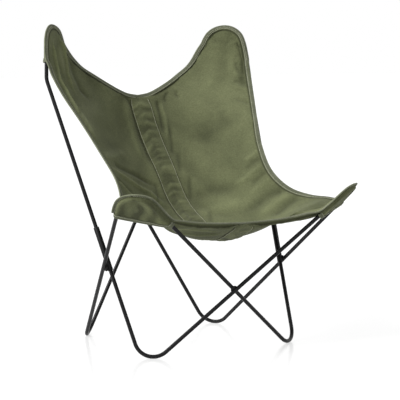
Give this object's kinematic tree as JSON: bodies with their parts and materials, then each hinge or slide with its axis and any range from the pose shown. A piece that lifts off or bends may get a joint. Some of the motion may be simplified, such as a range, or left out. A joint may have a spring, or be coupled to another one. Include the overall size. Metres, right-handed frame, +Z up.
{
  "type": "butterfly sling chair",
  "caption": "Lounge chair with a canvas sling hung by sewn pockets on the hairpin tips of a bent, crossing round-rod frame that stands on rounded V feet.",
  "frame": {"origin": "on the floor, under the middle of the chair's bounding box", "axes": "+Z up, -Y the way the sitter faces, +X the sitter's left"},
  "size_m": [0.757, 0.6926, 0.9086],
  "materials": {
    "frame": "satin black powder coat",
    "weld": "satin black powder coat over weld",
    "canvas": "woven olive canvas",
    "hem": "woven olive canvas, folded and stitched"
  },
  "bodies": {
    "root": {"lower_rod_a": "frame", "lower_rod_b": "frame", "back_hairpin_left": "frame", "back_hairpin_right": "frame", "sleeve_side_left": "frame", "sleeve_side_right": "frame", "sleeve_back_left": "frame", "sleeve_back_right": "frame", "weld_left": "weld", "weld_right": "weld", "weld_front": "weld", "weld_back": "weld", "sling_left": "canvas", "sling_right": "canvas", "pocket_back_left": "canvas", "pocket_back_right": "canvas", "pocket_front_left": "canvas", "pocket_front_right": "canvas", "hem_side_left": "hem", "hem_side_right": "hem", "hem_back": "hem", "hem_front": "hem", "centre_band": "hem"}
  },
  "joints": []
}
